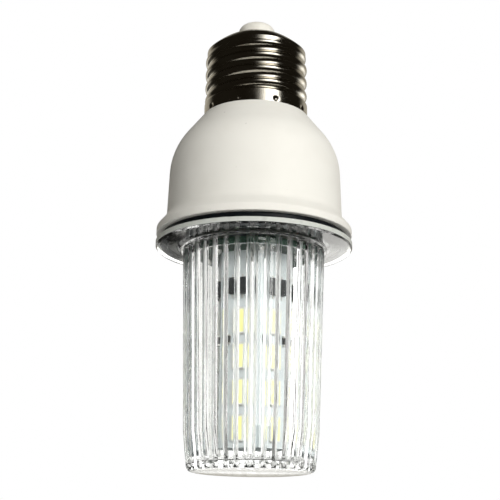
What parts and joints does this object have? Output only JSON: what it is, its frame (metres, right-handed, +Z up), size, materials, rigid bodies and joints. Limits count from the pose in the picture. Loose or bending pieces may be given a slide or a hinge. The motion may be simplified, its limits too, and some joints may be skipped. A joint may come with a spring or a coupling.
{
  "type": "led light bulb",
  "caption": "LED bulb with a metal screw cap, a white bell-shaped housing, a black seal and a clear fluted cover over a column of LED boards.",
  "frame": {"origin": "centre of the cover's flat bottom, which the bulb stands on as in the picture", "axes": "+Z up the bulb's axis towards the screw cap, -Y towards the picture's camera"},
  "size_m": [0.0488, 0.0488, 0.1153],
  "materials": {
    "nickel_shell": "bright nickel plate",
    "cream_insulator": "smooth cream moulding",
    "contact_metal": "bright nickel plate",
    "housing_white": "satin white moulding",
    "seal_rubber": "smooth black rubber",
    "cover_clear": "clear fluted moulding",
    "green_board": "green solder mask",
    "white_board": "white solder mask",
    "led_package": "white moulded package",
    "phosphor": "yellow phosphor gel",
    "chip_black": "black moulding compound",
    "resistor_black": "black overglaze",
    "solder": "bright solder",
    "capacitor_sleeve": "shrink sleeve",
    "ferrite": "dark ferrite",
    "winding_copper": "enamelled copper",
    "film_case": "dipped coating",
    "fuse_ceramic": "green coating",
    "lead_red": "wire insulation",
    "lead_black": "wire insulation"
  },
  "bodies": {
    "root": {"board_resistors": "resistor_black", "bulk_capacitor": "capacitor_sleeve", "cap_insulator": "cream_insulator", "centre_contact": "contact_metal", "choke_core": "ferrite", "choke_winding": "winding_copper", "clear_cover": "cover_clear", "current_regulators": "chip_black", "driver_board": "green_board", "driver_chip": "chip_black", "film_capacitor": "film_case", "fuse_resistor": "fuse_ceramic", "housing": "housing_white", "led_board_1": "white_board", "led_board_2": "white_board", "led_board_3": "white_board", "led_board_4": "white_board", "led_board_5": "white_board", "led_board_6": "white_board", "led_packages_1": "led_package", "led_packages_2": "led_package", "led_packages_3": "led_package", "led_packages_4": "led_package", "led_packages_5": "led_package", "led_packages_6": "led_package", "live_lead": "lead_red", "mounting_board": "green_board", "neutral_lead": "lead_black", "phosphor_windows_1": "phosphor", "phosphor_windows_2": "phosphor", "phosphor_windows_3": "phosphor", "phosphor_windows_4": "phosphor", "phosphor_windows_5": "phosphor", "phosphor_windows_6": "phosphor", "rectifier": "chip_black", "screw_shell": "nickel_shell", "sealing_ring": "seal_rubber", "solder_joints": "solder"}
  },
  "joints": []
}
